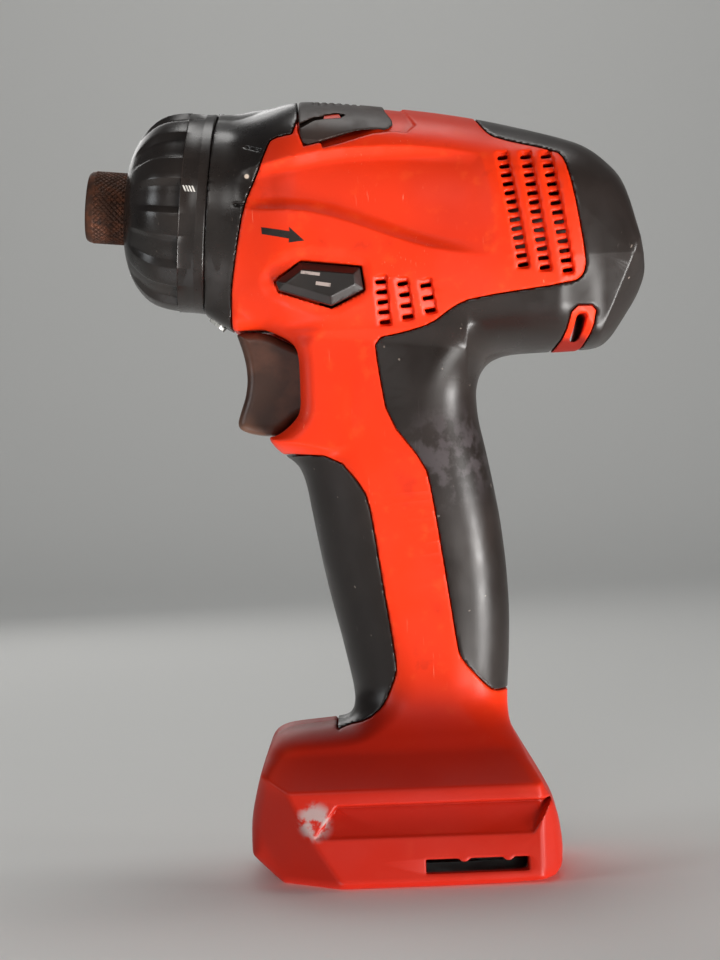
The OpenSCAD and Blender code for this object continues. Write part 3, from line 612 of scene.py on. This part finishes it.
def make_button():
    """The reversing button: a bar through the tool with a bevelled six-sided cap at each end."""
    b = Block((3.6, -27.2, 130.2), (26.8, 27.2, 147), FINE_GRID)
    side = b.flat(BUTTON, 0) + 0.1
    top = np.abs(b.y) - BUTTON_Y
    chamfer = (side + top) * DIAGONAL + 1.3
    cap = np.maximum(np.maximum(side, top), np.maximum(chamfer, 21.5 - np.abs(b.y)))
    bar = outline_field(BAR, np.abs(b.y[0]), b.z[0])[None]
    bar = np.maximum(bar, np.abs(b.x - BAR_X) - 3)
    # the notch under the bar takes the reversing lever's pin
    notch = np.maximum(np.abs(b.x - BAR_X) - 4, np.maximum(np.abs(b.y) - 1.6, b.z - 134))
    piece = b.surface(cut(np.minimum(cap, bar), notch), "reverse_cap", keep=0.35)
    return [(piece, "black_plastic", "reverse_button", ("reverse_button",))]


# ---------------------------------------------------------------------------
# Turned pieces about the drive axis
# ---------------------------------------------------------------------------
def on_axis(s, r, angle):
    """Points at stations, radii and angles; angle 0 is the left side and grows downwards."""
    y = r * np.cos(angle)
    down = r * np.sin(angle)
    return np.stack([s * COS_UP + down * SIN_UP, y + 0 * s, AXIS_Z + s * SIN_UP - down * COS_UP], axis=-1)


def turned(name, s, r, angles):
    """A closed ring surface from a grid of stations and radii: rows along, columns round."""
    points = on_axis(s, r, np.broadcast_to(angles, s.shape)).reshape(-1, 3)
    rows, cols = s.shape
    i, j = np.meshgrid(np.arange(rows), np.arange(cols), indexing="ij")
    i2, j2 = (i + 1) % rows, (j + 1) % cols
    faces = np.stack([i * cols + j, i * cols + j2, i2 * cols + j2, i2 * cols + j], axis=-1).reshape(-1, 4)
    return mesh_object(name, points, faces)


def spread(profile, turn):
    """Stations and radii of a closed profile, repeated for every angle in turn."""
    rows = np.array(profile)[:, :, None] + 0 * turn
    return rows[:, 0], rows[:, 1]


# The collar's grooves: how many, the first one's angle, half their width in degrees and their depth
GROOVES = 11
GROOVE_PHASE = -3.9
GROOVE_HALF = 8.1
GROOVE_DEPTH = 1.35


def make_collar():
    """The torque collar, with sloping-sided grooves round its dome."""
    rear = CAP_FRONT + 0.14
    outside = [
        (rear, 22.6), (rear, 23.9), (rear + 0.15, 24.05), (rear + 0.4, 24.15), (43.1, COLLAR_R),
        (43.3, 24.05), (43.6, 24.05), (43.8, COLLAR_R), (47.2, COLLAR_R), (47.35, 24.15), (47.6, 24.1),
        (48.5, 24.05), (50, 23.85), (51.5, 23.55), (53, 23.1), (54.5, 22.35), (55.8, 21.4), (57.1, 20.1),
        (58.3, 18.6), (59.4, 16.8), (60.3, 14.8), (61, 12.8), (61.4, 11.2), (61.6, 10.2), (61.55, 9.7),
        (61.2, 9.4),
    ]
    inside = [(58.6, 9.4), (57.6, 12), (57.4, 16), (57, 16.6), (54, 17), (53, 20.2), (rear, 20.2)]
    period = 360 / GROOVES
    lip, foot = GROOVE_HALF + 1.5, GROOVE_HALF - 1.5
    steps = [-lip - 0.8, -lip, -foot, -foot + 0.8, -3, 0, 3, foot - 0.8, foot, lip, lip + 0.8, 13, 16, 19.5]
    turn = np.array([k * period + a for k in range(GROOVES) for a in steps]) + GROOVE_PHASE
    depth = np.array([0, 0.06, 0.94, 1, 1, 1, 1, 1, 0.94, 0.06, 0, 0, 0, 0] * GROOVES, float)
    s, r = spread(outside + inside, turn)
    cut_in = ramp(s, 47.3, 47.7) * ramp(s, 60.2, 56.5) * GROOVE_DEPTH
    cut_in[len(outside):] = 0
    r = r - cut_in * depth
    piece = turned("torque_ring", s, r, np.radians(turn))
    return [(piece, "black_shell", "collar", ("torque_collar",))]


KNURL_START, KNURL_END, KNURL_STEP = 60.6, 69.6, 0.17
KNURL_TEETH = 40
KNURL_HALF, KNURL_DEPTH = 0.16, 0.28


def make_sleeve():
    """The quick-release sleeve, with a diamond knurl between plain ends."""
    stations = np.arange(KNURL_START, KNURL_END, KNURL_STEP)
    outside = [(58, 8.0), (58.2, 8.4), (60.2, 8.45)] + [(v, SLEEVE_R) for v in stations] + [
        (69.75, 8.6), (70.4, 8.5), (70.9, 8.2), (71.12, 7.95), (71.2, 7.7)]
    inside = [(65.6, 7.65), (65.5, 6.15), (63.5, 6.1), (62.4, 7), (59.8, 7), (59.4, 6.1), (58, 6.1)]
    turn = np.radians(np.arange(0, 360, 1.0))
    s, r = spread(outside + inside, turn)
    pitch = 2 * math.pi * SLEEVE_R / KNURL_TEETH
    one = np.abs(np.mod(turn * KNURL_TEETH / (2 * math.pi) + s / pitch, 1) - 0.5)
    two = np.abs(np.mod(turn * KNURL_TEETH / (2 * math.pi) - s / pitch, 1) - 0.5)
    knurl = np.clip(np.maximum(KNURL_HALF - one, KNURL_HALF - two), 0, None) / KNURL_HALF
    fade = ramp(stations, KNURL_START, KNURL_START + 0.4) * ramp(stations, KNURL_END, KNURL_END - 0.5)
    band = np.zeros(s.shape)
    band[3:3 + len(stations)] = fade[:, None]
    piece = turned("knurled_sleeve", s, r - KNURL_DEPTH * knurl * band, turn)
    return [(piece, "dark_steel", "sleeve", ("bit_sleeve",))]


# ---------------------------------------------------------------------------
# Thin painted marks that lie on the surface
# ---------------------------------------------------------------------------
def patch(name, outlines, lay):
    """Flat outlines, subdivided and then laid on a surface by lay(points)."""
    bm = bmesh.new()
    for outline in outlines:
        bm.faces.new([bm.verts.new((u, v, 0)) for u, v in outline])
    bmesh.ops.triangulate(bm, faces=bm.faces)
    bmesh.ops.subdivide_edges(bm, edges=bm.edges, cuts=3, use_grid_fill=True)
    bmesh.ops.triangulate(bm, faces=bm.faces)
    points = np.array([v.co[:2] for v in bm.verts])
    bm.verts.index_update()
    faces = [[v.index for v in f.verts] for f in bm.faces]
    bm.free()
    return mesh_object(name, lay(points), faces, outward=False)


def on_left(points, above=0.05):
    """Lays x, z points on the body's left side."""
    y = Form(points[:, :1], points[:, 1:]).surface_y()[:, 0] + above
    return np.stack([points[:, 0], y, points[:, 1]], axis=-1)


def on_collar(points):
    """Lays station and angle (degrees) points on the collar's rear band."""
    return on_axis(points[:, 0], COLLAR_R + 0.04, np.radians(points[:, 1]))


def on_cap(points):
    """Lays x, z points on the button's left cap."""
    return np.stack([points[:, 0], BUTTON_Y + 0.06 + 0 * points[:, 0], points[:, 1]], axis=-1)


def dash(x0, z0, x1, z1, half):
    """A short straight bar between two points."""
    d = np.array([x1 - x0, z1 - z0]) / math.hypot(x1 - x0, z1 - z0)
    n = np.array([-d[1], d[0]]) * half
    a, b = np.array([x0, z0]), np.array([x1, z1])
    return [tuple(a - n), tuple(b - n), tuple(b + n), tuple(a + n)]


def make_marks():
    """The direction arrow, the collar's ticks, the button's dashes and the red behind the slit."""
    arrow = [
        (28.2, 154.2), (21.6, 152.9), (21.7, 153.9), (18.3, 150.6), (21.9, 150.3), (21.8, 151.2), (28.1, 152.6),
    ]
    ticks = [[(s + 0.7, -9.8), (s + 1.1, -9.8), (s + 0.4, -6.4), (s, -6.4)] for s in (43.8, 44.5, 45.2, 45.9)]
    top_tick = [(43.9, -81.5), (47.0, -81.5), (47.0, -79.4), (43.9, -79.4)]
    dashes = [dash(19.4, 143.4, 15.0, 142.7, 0.36), dash(16.0, 140.7, 12.6, 140.1, 0.42)]
    shows = patch("red_window", [RED_WINDOW], lambda points: on_left(points, -0.6))
    return [
        (shows, "red_shell", "selector", ()),
        (patch("turn_arrow", [arrow], on_left), "black_shell", "body", ()),
        (patch("collar_ticks", ticks + [top_tick], on_collar), "white_plastic", "collar", ()),
        (patch("button_dashes", dashes, on_cap), "white_plastic", "reverse_button", ()),
    ]


# ---------------------------------------------------------------------------
# Materials
# ---------------------------------------------------------------------------
class Look:
    """Builds one procedural material on the object's own coordinates, in metres."""

    def __init__(self, name, colour, roughness, metallic=0.0, **extra):
        self.mat = bpy.data.materials.new(name)
        self.mat.use_nodes = True
        self.tree = self.mat.node_tree
        self.shader = self.tree.nodes["Principled BSDF"]
        self.shader.inputs["Base Color"].default_value = (*colour, 1)
        self.shader.inputs["Roughness"].default_value = roughness
        self.shader.inputs["Metallic"].default_value = metallic
        for key, value in extra.items():
            self.shader.inputs[key.replace("_", " ")].default_value = value
        self.place = self.node("ShaderNodeTexCoord").outputs["Object"]
        self.colour, self.rough = colour, roughness
        self.colour_now, self.rough_now, self.height = None, None, None

    def node(self, kind, **values):
        """A new node with its properties set."""
        n = self.tree.nodes.new(kind)
        for key, value in values.items():
            setattr(n, key, value)
        return n

    def link(self, source, target):
        self.tree.links.new(source, target)

    def stretched(self, scale, turn=(0, 0, 0)):
        """The object's coordinates, scaled and turned."""
        m = self.node("ShaderNodeMapping")
        m.inputs["Scale"].default_value = scale
        m.inputs["Rotation"].default_value = turn
        self.link(self.place, m.inputs["Vector"])
        return m.outputs["Vector"]

    def noise(self, scale, detail=3.0, place=None):
        n = self.node("ShaderNodeTexNoise")
        n.inputs["Scale"].default_value = scale
        n.inputs["Detail"].default_value = detail
        n.inputs["Roughness"].default_value = 0.55
        self.link(place or self.place, n.inputs["Vector"])
        return n.outputs["Fac"]

    def fit(self, source, lo, hi, out_lo=0.0, out_hi=1.0):
        """Maps a value from lo..hi to out_lo..out_hi, smoothly and clamped."""
        n = self.node("ShaderNodeMapRange", interpolation_type="SMOOTHSTEP")
        for key, value in zip(("From Min", "From Max", "To Min", "To Max"), (lo, hi, out_lo, out_hi)):
            n.inputs[key].default_value = value
        self.link(source, n.inputs["Value"])
        return n.outputs["Result"]

    def maths(self, operation, a, b):
        n = self.node("ShaderNodeMath", operation=operation)
        for socket, value in zip(n.inputs, (a, b)):
            if isinstance(value, (int, float)):
                socket.default_value = value
            else:
                self.link(value, socket)
        return n.outputs["Value"]

    def near(self, point, inner, outer):
        """1 within inner of a point in millimetres, and 0 beyond outer."""
        n = self.node("ShaderNodeVectorMath", operation="DISTANCE")
        self.link(self.place, n.inputs[0])
        n.inputs[1].default_value = [v * MM for v in point]
        return self.fit(n.outputs["Value"], inner * MM, outer * MM, 1.0, 0.0)

    def tint(self, mask, colour):
        """Lays another colour over what is there, where the mask is 1."""
        n = self.node("ShaderNodeMix", data_type="RGBA")
        if self.colour_now is None:
            n.inputs[6].default_value = (*self.colour, 1)
        else:
            self.link(self.colour_now, n.inputs[6])
        n.inputs[7].default_value = (*colour, 1)
        self.link(mask, n.inputs[0])
        self.colour_now = n.outputs[2]

    def roughen(self, mask, roughness):
        """Gives another roughness where the mask is 1."""
        n = self.node("ShaderNodeMix", data_type="FLOAT")
        if self.rough_now is None:
            n.inputs[2].default_value = self.rough
        else:
            self.link(self.rough_now, n.inputs[2])
        n.inputs[3].default_value = roughness
        self.link(mask, n.inputs[0])
        self.rough_now = n.outputs[0]

    def raise_by(self, source, amount):
        """Adds a relief of so many millimetres."""
        scaled = self.maths("MULTIPLY", source, amount)
        self.height = scaled if self.height is None else self.maths("ADD", self.height, scaled)

    def done(self):
        """Joins what was built to the shader."""
        if self.colour_now is not None:
            self.link(self.colour_now, self.shader.inputs["Base Color"])
        if self.rough_now is not None:
            self.link(self.rough_now, self.shader.inputs["Roughness"])
        if self.height is not None:
            bump = self.node("ShaderNodeBump")
            bump.inputs["Strength"].default_value = 1.0
            bump.inputs["Distance"].default_value = MM
            self.link(self.height, bump.inputs["Height"])
            self.link(bump.outputs["Normal"], self.shader.inputs["Normal"])
        return self.mat


def scratches(look, mask_scale, colour, turns):
    """Fine short scratches in a few directions."""
    for turn in turns:
        lines = look.noise(1.0, 2.0, place=look.stretched((2600, 2600, 70), (0, turn, 0)))
        fade = look.fit(look.noise(mask_scale, 2.0), 0.56, 0.66)
        mask = look.maths("MULTIPLY", look.fit(lines, 0.70, 0.74), fade)
        look.tint(look.maths("MULTIPLY", mask, 0.6), colour)


def red_plastic():
    look = Look("red_shell", (0.80, 0.032, 0.002), 0.38, IOR=1.47, Specular_IOR_Level=0.30)
    look.tint(look.fit(look.noise(28, 3), 0.42, 0.68, 0, 0.6), (0.66, 0.022, 0.001))
    look.tint(look.fit(look.noise(240, 4), 0.56, 0.75, 0, 0.3), (0.88, 0.085, 0.010))
    look.roughen(look.fit(look.noise(60, 4), 0.35, 0.7), 0.50)
    scratches(look, 90, (0.90, 0.30, 0.18), (0.3, 1.2, 2.3))
    # painted shade: the foot is tinted a deeper red to stand for shade falling on it, and the tether frame's
    # inside is darkened as painted shade in its slot; then a scuff on the foot's corner
    look.tint(look.fit(look.near((0, 0, -12), 50, 66), 0, 1, 0, 0.85), (0.30, 0.006, 0.001))
    # painted shade: the inside of the tether frame's slot is darkened where shade falls in the recess
    inside = look.near((-45.5, 0, 128.5), 12, 16)
    look.tint(inside, (0.22, 0.008, 0.002))
    look.roughen(inside, 0.9)
    scuff = look.near((20.9, FOOT_Y, 16.2), 2.6, 5.4)
    scuff = look.maths("MULTIPLY", scuff, look.fit(look.noise(330, 4), 0.40, 0.56))
    look.tint(scuff, (0.31, 0.215, 0.205))
    look.roughen(scuff, 0.7)
    look.tint(look.fit(look.noise(130, 5), 0.62, 0.76, 0, 0.35), (0.36, 0.010, 0.002))
    look.raise_by(look.noise(2600, 2), 0.010)
    look.raise_by(look.noise(70, 2), 0.06)
    return look.done()


def grip_rubber():
    look = Look("soft_grip", (0.013, 0.0088, 0.0072), 0.37, IOR=1.5)
    look.tint(look.fit(look.noise(40, 4), 0.40, 0.70, 0, 0.8), (0.026, 0.0185, 0.016))
    # a rubbed patch on the palm, a polished neck and a few specks of dust
    rub = look.maths("MULTIPLY", look.near((-14, 15, 99), 3, 16), look.fit(look.noise(300, 5), 0.42, 0.6))
    look.tint(look.maths("MULTIPLY", rub, 0.6), (0.095, 0.080, 0.085))
    look.roughen(look.fit(look.noise(150, 5), 0.40, 0.70), 0.29)
    look.roughen(look.near((-21, 15, 127), 5, 20), 0.24)
    scratches(look, 120, (0.10, 0.085, 0.08), (0.6, 2.0))
    specks = look.fit(look.noise(600, 1.0), 0.77, 0.79)
    look.tint(specks, (0.16, 0.13, 0.11))
    look.raise_by(look.noise(3200, 2), 0.012)
    look.raise_by(look.noise(90, 2), 0.05)
    return look.done()


def black_plastic(name, colour, roughness):
    look = Look(name, colour, roughness, IOR=1.5)
    look.tint(look.fit(look.noise(50, 4), 0.40, 0.70), [1.9 * v for v in colour])
    look.roughen(look.fit(look.noise(130, 5), 0.40, 0.70), roughness * 1.35)
    scratches(look, 110, (0.12, 0.095, 0.08), (0.4, 1.7))
    look.tint(look.near(NOSE_DOT, 0.35, 0.7), (0.62, 0.50, 0.40))
    look.raise_by(look.noise(3000, 2), 0.010)
    return look.done()


def trigger_plastic():
    look = Look("trigger_plastic", (0.052, 0.022, 0.013), 0.42, IOR=1.5)
    look.tint(look.fit(look.noise(110, 5), 0.42, 0.68), (0.105, 0.044, 0.026))
    look.tint(look.near((35, 0, 107.5), 6, 10), (0.16, 0.075, 0.045))
    look.roughen(look.fit(look.noise(170, 4), 0.4, 0.7), 0.30)
    look.raise_by(look.noise(2400, 2), 0.012)
    return look.done()


def rusty_steel():
    look = Look("dark_steel", (0.060, 0.024, 0.013), 0.55, 0.55)
    look.tint(look.fit(look.noise(420, 5), 0.42, 0.66), (0.12, 0.040, 0.018))
    look.tint(look.fit(look.noise(160, 4), 0.55, 0.72), (0.030, 0.018, 0.014))
    look.roughen(look.fit(look.noise(300, 4), 0.4, 0.7), 0.75)
    look.raise_by(look.noise(2200, 3), 0.02)
    return look.done()


def metal(name, colour, roughness, metallic=1.0):
    look = Look(name, colour, roughness, metallic)
    look.tint(look.fit(look.noise(260, 4), 0.4, 0.7), [0.72 * v for v in colour])
    look.roughen(look.noise(1.0, 3, place=look.stretched((300, 3000, 3000))), roughness * 1.5)
    look.raise_by(look.noise(1500, 3), 0.006)
    return look.done()


def pale_plastic(name, colour):
    look = Look(name, colour, 0.45)
    look.tint(look.fit(look.noise(900, 4), 0.48, 0.66), [0.6 * v for v in colour])
    look.raise_by(look.noise(2600, 2), 0.01)
    return look.done()


def wire_rubber():
    look = Look("wire_cover", (0.45, 0.03, 0.03), 0.5)
    look.tint(look.fit(look.noise(200, 3), 0.4, 0.7), (0.30, 0.02, 0.02))
    return look.done()


def clear_lens():
    look = Look("clear_lens", (0.93, 0.93, 0.88), 0.12, IOR=1.5, Transmission_Weight=0.85)
    look.roughen(look.fit(look.noise(700, 3), 0.45, 0.7), 0.28)
    return look.done()


# The pale dot on the nose cover's left side
NOSE_DOT = on_left(np.array([[31.2, 166.4]]), 0)[0]

# One finish for each material slot
LOOKS = {
    "red_shell": red_plastic(),
    "soft_grip": grip_rubber(),
    "black_shell": black_plastic("black_shell", (0.0115, 0.0085, 0.0072), 0.26),
    "black_plastic": black_plastic("black_plastic", (0.010, 0.0068, 0.0055), 0.34),
    "trigger_plastic": trigger_plastic(),
    "white_plastic": pale_plastic("white_plastic", (0.78, 0.74, 0.68)),
    "dark_steel": rusty_steel(),
    "bright_steel": metal("bright_steel", (0.55, 0.54, 0.52), 0.28),
    "screw_steel": metal("screw_steel", (0.10, 0.10, 0.10), 0.40),
    "cast_alloy": metal("cast_alloy", (0.52, 0.52, 0.53), 0.45),
    "bronze": metal("bronze", (0.62, 0.36, 0.15), 0.35),
    "magnet": metal("magnet", (0.10, 0.10, 0.11), 0.60, 0.6),
    "wire_cover": wire_rubber(),
    "clear_lens": clear_lens(),
}

# Pieces whose finish is a worn or browned kind of their slot's
OWN_LOOKS = {
    "button_dashes": pale_plastic("worn_paint", (0.40, 0.32, 0.29)),
    "selector_saddle": black_plastic("browned_plastic", (0.024, 0.0125, 0.0090), 0.46),
}


def dress(obj, slot_name):
    """Gives a piece its own finish, or its slot's."""
    obj.data.materials.clear()
    obj.data.materials.append(OWN_LOOKS.get(obj.name, LOOKS[slot_name]))


# ---------------------------------------------------------------------------
# Assembly
# ---------------------------------------------------------------------------
for part in frame["record"]["subparts"]:
    dress(frame["nodes"][part["node"]], part["material_slot"])

made = make_shells() + make_nose() + make_eyelet() + make_selector() + make_trigger()
made += make_button() + make_collar() + make_sleeve() + make_marks()
for piece, slot_name, body_name, nodes in made:
    dress(piece, slot_name)
    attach(piece, body_name)
    if nodes:
        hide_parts(*nodes)


# ---------------------------------------------------------------------------
# Camera, lights and floor
# ---------------------------------------------------------------------------
def pale_floor():
    look = Look("pale_floor", (0.72, 0.72, 0.70), 0.8)
    look.roughen(look.noise(30, 2), 0.88)
    return look.done()


WALL_Y = -2.4


def make_floor():
    """A pale floor that curves up into a backdrop behind the object."""
    near, bend, height, half = 3.0, 0.8, 3.0, 4.0
    curve = [(WALL_Y + bend - bend * math.sin(a), bend - bend * math.cos(a))
             for a in np.linspace(0, math.pi / 2, 24)]
    profile = [(near, 0)] + curve + [(WALL_Y, height)]
    points = [(x / MM, y / MM, z / MM) for y, z in profile for x in (-half, half)]
    faces = [(2 * i, 2 * i + 1, 2 * i + 3, 2 * i + 2) for i in range(len(profile) - 1)]
    floor = mesh_object("floor", points, faces, outward=False)
    floor.data.materials.append(pale_floor())
    # lamps below the floor still light the object
    floor.visible_shadow = False


def light(name, place, target, size, power, colour):
    """A round soft lamp at a place in metres, turned to its target, with its power in watts."""
    lamp = bpy.data.lights.new(name, "AREA")
    lamp.shape, lamp.size, lamp.energy, lamp.color = "DISK", size, power, colour
    obj = bpy.data.objects.new(name, lamp)
    obj.location = place
    obj.rotation_euler = (Vector(target) - Vector(place)).to_track_quat("-Z", "Y").to_euler()
    bpy.context.scene.collection.objects.link(obj)


make_floor()
AIM = (0, 0, 0.10)
light("key", (-0.62, 0.78, -0.36), AIM, 0.34, 8.4, (1.0, 0.98, 0.95))
light("front", (0.22, 1.0, 0.42), AIM, 0.35, 1.3, (1.0, 0.98, 0.95))
light("left", (0.80, 0.45, 0.30), AIM, 0.4, 1.8, (0.93, 0.97, 1.0))
light("under", (0.30, 0.22, -0.60), AIM, 0.25, 1.2, (0.95, 0.97, 1.0))
light("neck", (-0.45, 0.30, -0.55), AIM, 0.14, 5.5, (1.0, 0.98, 0.96))
light("top", (-0.05, -0.15, 1.0), AIM, 0.5, 3.0, (1.0, 0.99, 0.97))
light("rear_side", (-0.80, 0.30, 0.02), AIM, 0.20, 4.6, (1.0, 0.98, 0.96))
light("right", (0.35, -0.95, 0.60), AIM, 0.6, 1.6, (1.0, 0.99, 0.98))
light("wall", (0.0, -1.2, 1.5), (0, WALL_Y, 0.35), 0.9, 6, (1.0, 1.0, 1.0))

world = bpy.data.worlds.new("studio")
world.use_nodes = True
background = world.node_tree.nodes["Background"]
background.inputs["Color"].default_value = (0.92, 0.95, 1.0, 1)
background.inputs["Strength"].default_value = 0.09
bpy.context.scene.world = world
bpy.context.scene.view_settings.view_transform = "Standard"

# The camera looks level at the left side, rolled a little
CAMERA_AT = (0.0075, 0.6, 0.0946)
ROLL = math.radians(2.2)
camera_data = bpy.data.cameras.new("camera")
camera_data.sensor_fit = "VERTICAL"
camera_data.sensor_height = 36
camera_data.lens = 92.6
camera = bpy.data.objects.new("camera", camera_data)
cos_roll, sin_roll = math.cos(ROLL), math.sin(ROLL)
camera.matrix_world = Matrix((
    (-cos_roll, -sin_roll, 0, CAMERA_AT[0]),
    (0, 0, 1, CAMERA_AT[1]),
    (-sin_roll, cos_roll, 0, CAMERA_AT[2]),
    (0, 0, 0, 1),
))
bpy.context.scene.collection.objects.link(camera)
bpy.context.scene.camera = camera

bpy.context.view_layer.update()
